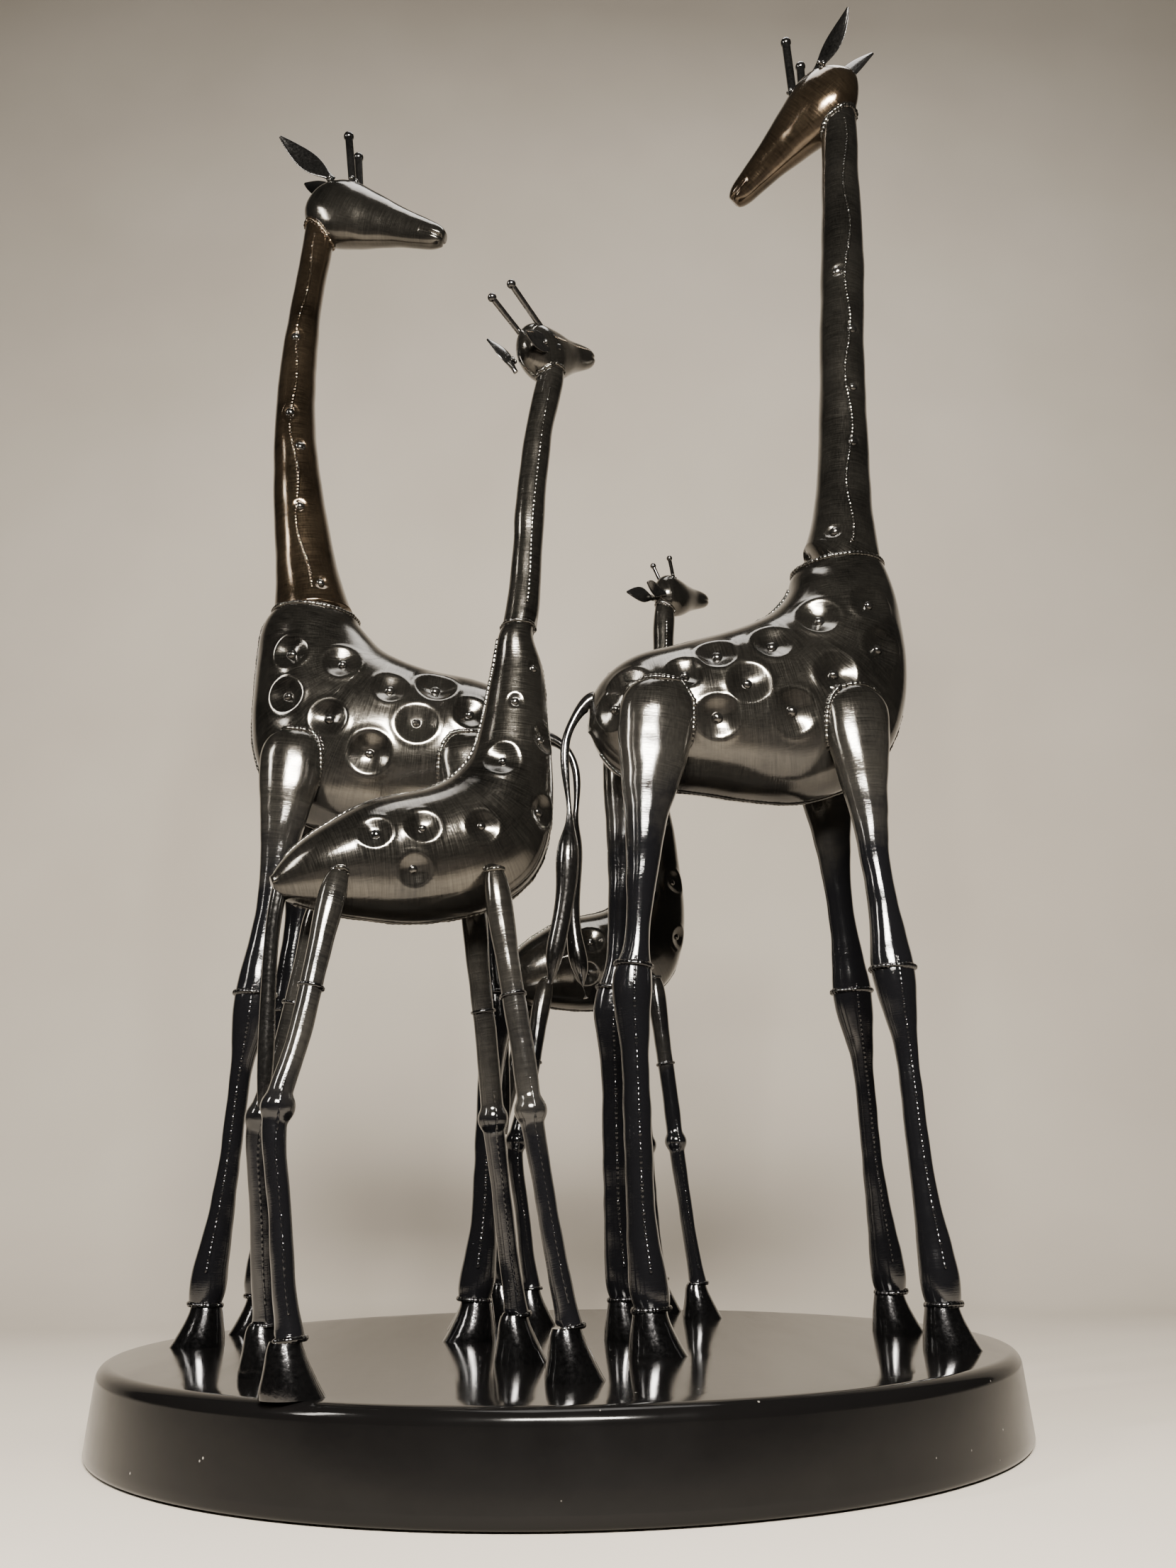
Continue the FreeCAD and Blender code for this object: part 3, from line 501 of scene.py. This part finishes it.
def screw_steel():
    nodes = Nodes("screw_steel")
    place = nodes.spot("Object")
    turned = nodes.noise(nodes.stretched(place, (400.0, 400.0, 2500.0)), 1.0, 3.0)
    colour = nodes.mix(nodes.span(turned, 0.35, 0.65, 0.0, 1.0), (0.32, 0.31, 0.29), (0.55, 0.54, 0.52))
    nodes.set(Base_Color=colour, Metallic=1.0, Roughness=nodes.span(turned, 0.3, 0.7, 0.25, 0.45),
              Normal=nodes.bump(turned, 0.02 * MM, 0.4))
    return nodes.material


def cream_cloth():
    nodes = Nodes("cream_cloth")
    place = nodes.spot("Object")
    weave = nodes.noise(nodes.stretched(place, (900.0, 900.0, 900.0)), 1.0, 2.0)
    soft = nodes.noise(place, 3.0, 3.0)
    colour = nodes.mix(nodes.span(soft, 0.3, 0.7, 0.0, 1.0), (0.50, 0.450, 0.385), (0.57, 0.52, 0.45))
    split = nodes.add("ShaderNodeSeparateXYZ")
    nodes.link(place, split.inputs[0])
    # Painted shade: in front of y = -0.24 the cloth darkens to near black by y = -0.36. This dark sheet
    # stands in for the dark room in front, so the metal and the board reflect darkness there.
    painted_dark_front = nodes.span(split.outputs["Y"], -0.36, -0.24, 1.0, 0.0)
    colour = nodes.mix(painted_dark_front, colour, (0.035, 0.030, 0.026))
    nodes.set(Base_Color=colour, Roughness=0.95, Normal=nodes.bump(weave, 0.15 * MM, 0.3))
    return nodes.material


DARK = (0.010, 0.0095, 0.009)
BRIGHT = (0.135, 0.125, 0.107)
LOOKS = {
    "skin_bull": steel("skin_bull", BRIGHT, DARK, (0.185, 0.245)),
    "skin_cow": steel("skin_cow", BRIGHT, DARK, (0.185, 0.245)),
    "skin_front_calf": steel("skin_front_calf", BRIGHT, DARK, (0.090, 0.165)),
    "skin_rear_calf": steel("skin_rear_calf", BRIGHT, DARK, (0.120, 0.175)),
    "bronzed": steel("bronzed", (0.165, 0.120, 0.076), (0.016, 0.011, 0.007)),
    "upper": steel("upper", BRIGHT, DARK),
    "low": steel("low", (0.045, 0.044, 0.045), (0.007, 0.007, 0.008)),
    "low_plain": steel("low_plain", (0.045, 0.044, 0.045), (0.007, 0.007, 0.008), None, False),
    "small": steel("small", (0.11, 0.105, 0.10), (0.02, 0.02, 0.02), None, False),
    "weld_bright": steel("weld_bright", (0.15, 0.142, 0.13), (0.02, 0.02, 0.02), None, False),
    "board": board_lacquer(),
    "screw": screw_steel(),
}


# ---------------------------------------------------------------- pieces
def body_line(giraffe, ahead, left):
    """The body's middle line in the row's frame."""
    origin = (middle_of(giraffe + "_hooves_front") + middle_of(giraffe + "_hooves_rear")) / 2
    origin[2] = 0.0
    corners = corners_of(giraffe + "_body_left", giraffe + "_body_right")
    reach = (corners - origin) @ ahead
    spine = np.array(SPINES[giraffe]) * MM
    shift = reach.min() - spine[0, 0] + 0.3 * MM
    across = ((corners - origin) @ left)
    middle = (across.min() + across.max()) / 2
    points = [origin + ahead * (x + shift) + left * middle + UP * z for x, z in spine]
    return smooth_line(resample(points, 1.0 * MM), 12)


def rows_along(points):
    tangents = np.gradient(points, axis=0)
    return tangents / np.linalg.norm(tangents, axis=1, keepdims=True)


def upright_line(corners, step, low, high):
    """Middle line of an upright node, from thin slices of it."""
    heights = np.arange(low, high, step)
    middles = []
    kept = []
    for height in heights:
        near = corners[np.abs(corners[:, 2] - height) < 3.0 * MM]
        if len(near) < 6:
            continue
        middles.append((near.min(axis=0) + near.max(axis=0)) / 2)
        kept.append(height)
    middles = np.array(middles)
    line = np.stack([np.interp(heights, kept, middles[:, axis]) for axis in (0, 1)] + [heights], axis=1)
    return smooth_line(line, 20)


def bead_spots(giraffe):
    """Middle, radius and depth of the dish round every weld drop."""
    least, greatest, neck_height = DISHES[size_of(giraffe)]
    spots = []
    for middle in clusters(corners_of(giraffe + "_beads"), BEAD_GAP[size_of(giraffe)] * MM):
        radius = rng.uniform(least, greatest) * MM
        if middle[2] > neck_height:
            radius *= NECK_DISH_SHARE
        spots.append((middle, radius, radius * rng.uniform(*DISH_DEPTH_SHARE)))
    return spots


def skin_grid(kind, giraffe, line, first_side, *names):
    """The outside of some CAD nodes as even rings round a line, and the bare radii of the rays."""
    _, count, reach = SKINS[kind][size_of(giraffe)]
    outs, radii = wrap(tree_of(*names), line, rows_along(line), count, reach * MM, first_side)
    return line[:, None, :] + outs * fill_misses(radii)[:, :, None], radii


def run_weld(name, path, kind, giraffe, look, closed=False, seed=1):
    radius = WELDS[kind][size_of(giraffe)] * MM
    settle(weld(name, path, radius, look, closed, seed=seed), "weld_metal")


def make_body(giraffe):
    ahead, left = stance(giraffe)
    names = (giraffe + "_body_left", giraffe + "_body_right")
    step, count, _ = SKINS["body"][size_of(giraffe)]
    line = resample(body_line(giraffe, ahead, left), step * MM)
    grid, _ = skin_grid("body", giraffe, line, left, *names)
    grid = relax(grid, 4)
    width, height = BEATING["body"]
    grid = rumple(grid, width * MM, height * MM, 1)
    spots = bead_spots(giraffe)
    grid = dish(grid, spots)
    skin = grid_piece(giraffe + "_body_skin", grid, LOOKS["skin_" + giraffe])
    settle(skin, "brushed_gunmetal", *names)
    for word, path in (("back", grid[6:-3, 0]), ("belly", grid[10:-10, count // 2])):
        run_weld("%s_%s_seam" % (giraffe, word), path, "seam", giraffe, LOOKS["skin_" + giraffe], seed=3)
    run_weld(giraffe + "_neck_weld", grid[-2], "neck_foot", giraffe, LOOKS["upper"], True, 5)
    return spots, grid


def make_beads(giraffe, spots, grids):
    """A melted drop in the middle of every dish."""
    drops = []
    cloud = np.concatenate([grid.reshape(-1, 3) for grid in grids])
    facing = np.concatenate([grid_normals(grid).reshape(-1, 3) for grid in grids])
    size = DROP_RADIUS[size_of(giraffe)] * MM
    for middle, _, _ in spots:
        nearest = np.argmin(np.linalg.norm(cloud - middle, axis=1))
        radius = size * rng.uniform(0.95, 1.2)
        height = size * rng.uniform(0.7, 0.85)
        drops.append((cloud[nearest], facing[nearest], radius, height))
    piece = lump_mesh(drops, LOOKS["weld_bright"], giraffe + "_weld_drops")
    settle(piece, "weld_metal", giraffe + "_beads")


def last_hits(radii, grid):
    """Where the skin meets its neighbour: the last ring hit in every column."""
    path = []
    for column in range(radii.shape[1]):
        rows = np.nonzero(~np.isnan(radii[:, column]))[0]
        if len(rows):
            path.append(grid[rows[-1], column])
    return np.array(path)


def make_neck(giraffe, spots):
    _, left = stance(giraffe)
    name = giraffe + "_neck"
    large = giraffe in ADULTS
    corners = corners_of(name)
    low, high = corners[:, 2].min(), corners[:, 2].max()
    step, count, _ = SKINS["neck"][size_of(giraffe)]
    line = upright_line(corners, step * MM, low + 0.5 * MM, high)
    grid, radii = skin_grid("neck", giraffe, line, left, name)
    grid = relax(grid, 3)
    width, height = BEATING["neck"]
    grid = rumple(grid, width * MM, height * MM, 2)
    grid = dish(grid, spots)
    look = LOOKS["bronzed"] if giraffe == "cow" else LOOKS["upper"]
    skin = grid_piece(name + "_skin", grid, look)
    settle(skin, "bronzed_gunmetal" if giraffe == "cow" else "brushed_gunmetal", name)
    rise = len(grid)
    near = count // 4 if giraffe == "cow" else 3 * count // 4
    path = []
    for row in range(8, rise - 12, 2):
        sway = 0.9 * math.sin(row * 0.11) * (1 if large else 0.4)
        column = near + sway * count / 40
        first = int(math.floor(column)) % count
        share = column - math.floor(column)
        path.append(grid[row, first] * (1 - share) + grid[row, (first + 1) % count] * share)
    run_weld(name + "_seam", smooth_line(np.array(path), 2), "neck_seam", giraffe, look, seed=4)
    run_weld(giraffe + "_head_weld", last_hits(radii, grid), "head", giraffe, look, True, 6)
    return grid


def cut_mouth(grid, line, ahead, scale):
    """A short slit for the mouth, running back from the nose on both sides."""
    lift = UP - ahead * ahead[2]
    lift /= np.linalg.norm(lift)
    back = (line[-1] - grid) @ ahead
    rise = (grid - line[:, None, :]) @ lift
    level = (-1.1 - 0.10 * back / MM) * MM * scale
    slit = np.exp(-((rise - level) / (0.75 * MM * scale)) ** 2)
    slit *= np.clip(1.0 - back / (11.0 * MM * scale), 0.0, 1.0) ** 0.6
    return grid - grid_normals(grid) * (slit * 1.1 * MM * scale)[:, :, None]


def root_welds(giraffe, head_grid, ahead):
    """Blobs of weld where the horns and ears stand on the head."""
    side = np.cross(UP, ahead)
    skin = head_grid.reshape(-1, 3)
    middle = skin.mean(axis=0)
    size = ROOT_BLOB_RADIUS[size_of(giraffe)] * MM
    blobs = []
    for kind in ("horns", "ears"):
        corners = corners_of("%s_%s" % (giraffe, kind))
        split = (corners - corners.mean(axis=0)) @ side
        for half in (corners[split > 0], corners[split <= 0]):
            half = half[:: max(len(half) // 400, 1)]
            gaps = np.linalg.norm(half[:, None, :] - skin[None, ::5, :], axis=2).min(axis=1)
            roots = half[gaps < gaps.min() + 1.0 * MM]
            root = roots.mean(axis=0)
            facing = (root - middle) / np.linalg.norm(root - middle)
            for _ in range(BLOBS_PER_ROOT):
                spread = rng.normal(0.0, 0.55, 3) * size
                radius = size * rng.uniform(0.75, 1.15)
                height = size * rng.uniform(0.6, 0.9)
                blobs.append((root + spread, facing, radius, height))
    piece = lump_mesh(blobs, LOOKS["weld_bright"], giraffe + "_root_welds")
    settle(piece, "weld_metal")


def make_head(giraffe):
    name = giraffe + "_head"
    corners = corners_of(name)
    middle = corners.mean(axis=0)
    _, axes = np.linalg.eigh(np.cov((corners - middle).T))
    ahead = axes[:, -1]
    reach = (corners - middle) @ ahead
    front_size = np.ptp(corners[reach > np.quantile(reach, 0.9)][:, 2])
    back_size = np.ptp(corners[reach < np.quantile(reach, 0.1)][:, 2])
    if front_size > back_size:
        ahead = -ahead
        reach = -reach
    step = SKINS["head"][size_of(giraffe)][0] * MM
    line = []
    for place in np.arange(reach.min() + 0.3 * MM, reach.max() - 0.2 * MM, step):
        near = corners[np.abs(reach - place) < 2.5 * MM]
        offset = (near - middle) - np.outer((near - middle) @ ahead, ahead)
        line.append(middle + ahead * place + (offset.min(axis=0) + offset.max(axis=0)) / 2)
    line = smooth_line(np.array(line), 25)
    grid, _ = skin_grid("head", giraffe, line, np.cross(UP, ahead), name)
    grid = relax(grid, 3)
    width, height = BEATING["head"]
    grid = rumple(grid, width * MM, height * MM, 3)
    grid = cut_mouth(grid, line, ahead, MOUTH_SCALE[size_of(giraffe)])
    look = LOOKS["bronzed"] if giraffe == "bull" else LOOKS["upper"]
    skin = grid_piece(name + "_skin", grid, look)
    settle(skin, "bronzed_gunmetal" if giraffe == "bull" else "brushed_gunmetal", name)
    root_welds(giraffe, grid, ahead)


def make_leg(giraffe, leg):
    name = "%s_%s" % (giraffe, leg)
    _, left = stance(giraffe)
    corners = corners_of(name)
    low, high = corners[:, 2].min(), corners[:, 2].max()
    size = size_of(giraffe)
    step, count, _ = SKINS["leg"][size]
    line = upright_line(corners, step * MM, low + 0.2 * MM, high - 0.3 * MM)
    trusted = line[:, 2] < low + (high - low) * LEG_TRUSTED_SHARE
    run = line[trusted]
    slope = (run[-1] - run[-40]) / (run[-1][2] - run[-40][2])
    line[~trusted] = run[-1] + np.outer(line[~trusted][:, 2] - run[-1][2], slope)
    grid, radii = skin_grid("leg", giraffe, line, left, name)
    grid = relax(grid, 2)
    width, height = LEG_BEATING[size]
    grid = rumple(grid, width * MM, height * MM, 4)
    look = LOOKS["skin_" + giraffe]
    skin = grid_piece(name + "_skin", grid, look)
    settle(skin, "dark_gunmetal", name)
    run_weld(name + "_hip_weld", last_hits(radii, grid), "hip", giraffe, look, True, 7)
    heights = grid[:, :, 2].mean(axis=1)
    near = count // 4 if giraffe == "cow" else 3 * count // 4
    low_row, high_row = int(len(grid) * 0.05), int(len(grid) * 0.52)
    path = smooth_line(grid[low_row:high_row, near], 8)
    run_weld(name + "_seam", path, "leg_seam", giraffe, look, seed=9)
    for word, height, radius in LEG_RINGS[size]:
        row = int(np.argmin(np.abs(heights - height)))
        ring_name = "%s_%s_weld" % (name, word)
        ring = weld(ring_name, grid[row], radius * MM, LOOKS["low"], True, LEG_RING_PITCH * MM, seed=8)
        settle(ring, "weld_metal")


def show_cad(name, look):
    """A CAD node shown as it is, with its own finish."""
    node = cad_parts[name]
    node.data.materials.clear()
    node.data.materials.append(LOOKS[look])


def make_board():
    """The turned board: flat underside, slightly tapered side, round top edge."""
    low, high = (np.array(corner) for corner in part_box("base_board"))
    middle = (low + high) / 2
    radius = (high[0] - low[0]) / 2
    top = high[2]
    edge = 4.0 * MM
    lip = 1.4 * MM
    profile = [(0.0, 0.0), (radius * 0.5, 0.0), (radius - 1.2 * MM, 0.0), (radius - 0.3 * MM, 0.3 * MM),
               (radius, 1.2 * MM)]
    for step in range(1, 9):
        share = step / 9
        profile.append((radius - lip * share, 1.2 * MM + (top - edge - 1.2 * MM) * share))
    for step in range(13):
        angle = math.pi / 2 * step / 12
        profile.append((radius - lip - edge + edge * math.cos(angle), top - edge + edge * math.sin(angle)))
    for share in (0.93, 0.85, 0.7, 0.5, 0.3, 0.12, 0.004):
        profile.append(((radius - lip - edge) * share, top))
    sides = 360
    rings = []
    for out, height in profile:
        out = max(out, 0.4 * MM)
        rings.append([(middle[0] + out * math.cos(2 * math.pi * k / sides),
                       middle[1] + out * math.sin(2 * math.pi * k / sides), height) for k in range(sides)])
    piece = grid_piece("board_turned", np.array(rings), LOOKS["board"])
    settle(piece, "board_lacquer", "base_board")


for one in GIRAFFES:
    dishes, body_grid = make_body(one)
    neck_grid = make_neck(one, dishes)
    make_beads(one, dishes, (body_grid, neck_grid))
    make_head(one)
    for limb in LEGS:
        make_leg(one, limb)
    show_cad(one + "_horns", "small")
    show_cad(one + "_ears", "small")
    show_cad(one + "_tail", "small")
    show_cad(one + "_hooves_front", "low_plain")
    show_cad(one + "_hooves_rear", "low_plain")
make_board()
show_cad("hoof_screws", "screw")


# ---------------------------------------------------------------- stage
def make_floor():
    """A pale cloth floor running up into a backdrop; its cloth is painted near black in front of y = -0.24
    as painted shade for the metal to reflect.
    """
    profile = [(-0.9, 0.0), (0.40, 0.0)]
    for step in range(1, 25):
        angle = math.pi / 2 * step / 24
        profile.append((0.40 + 0.40 * math.sin(angle), 0.40 - 0.40 * math.cos(angle)))
    profile.append((0.80, 2.2))
    points = []
    faces = []
    for index, (depth, height) in enumerate(profile):
        points += [(-1.4, depth, height - 0.0005), (1.4, depth, height - 0.0005)]
        if index:
            last = index * 2
            faces.append((last - 2, last - 1, last + 1, last))
    mesh = bpy.data.meshes.new("cloth_floor")
    mesh.from_pydata(points, [], faces)
    floor = finish_piece("cloth_floor", mesh, cream_cloth())


def area_light(name, place, target, size, power, colour):
    data = bpy.data.lights.new(name, "AREA")
    data.shape = "RECTANGLE"
    data.size, data.size_y = size
    data.energy = power
    data.color = colour
    lamp = bpy.data.objects.new(name, data)
    lamp.location = place
    aim = Vector(target) - Vector(place)
    lamp.rotation_euler = aim.to_track_quat("-Z", "Y").to_euler()
    bpy.context.scene.collection.objects.link(lamp)


make_floor()
area_light("key", (0.02, -0.78, 0.50), (0.02, 0.0, 0.27), (0.34, 0.12), 34.0, (1.0, 0.95, 0.87))
area_light("top", (0.1, 0.05, 1.5), (0.0, 0.2, 0.0), (0.8, 0.4), 5.0, (1.0, 0.965, 0.92))
area_light("side", (-0.75, -0.45, 0.60), (-0.05, 0.0, 0.3), (0.08, 0.30), 4.0, (1.0, 0.95, 0.88))

world = bpy.data.worlds.new("soft_room")
bpy.context.scene.world = world
world.use_nodes = True
world.node_tree.nodes["Background"].inputs["Color"].default_value = (0.95, 0.90, 0.82, 1.0)
world.node_tree.nodes["Background"].inputs["Strength"].default_value = 0.022

# ---------------------------------------------------------------- camera
CAMERA_RIGHT = (0.999724, -0.019799, -0.012674)
CAMERA_UP = (0.005749, -0.316875, 0.948450)
CAMERA_AHEAD = (0.022795, 0.948261, 0.316674)
lens = bpy.data.cameras.new("view_from_front")
lens.sensor_fit = "VERTICAL"
lens.sensor_height = 36.0
lens.lens = 29.12
camera = bpy.data.objects.new("view_from_front", lens)
columns = (Vector(CAMERA_RIGHT), Vector(CAMERA_UP), -Vector(CAMERA_AHEAD))
turn = Matrix([[column[row] for column in columns] for row in range(3)])
camera.matrix_world = Matrix.Translation((0.0, -0.46917, 0.06831)) @ turn.to_4x4()
bpy.context.scene.collection.objects.link(camera)
bpy.context.scene.camera = camera
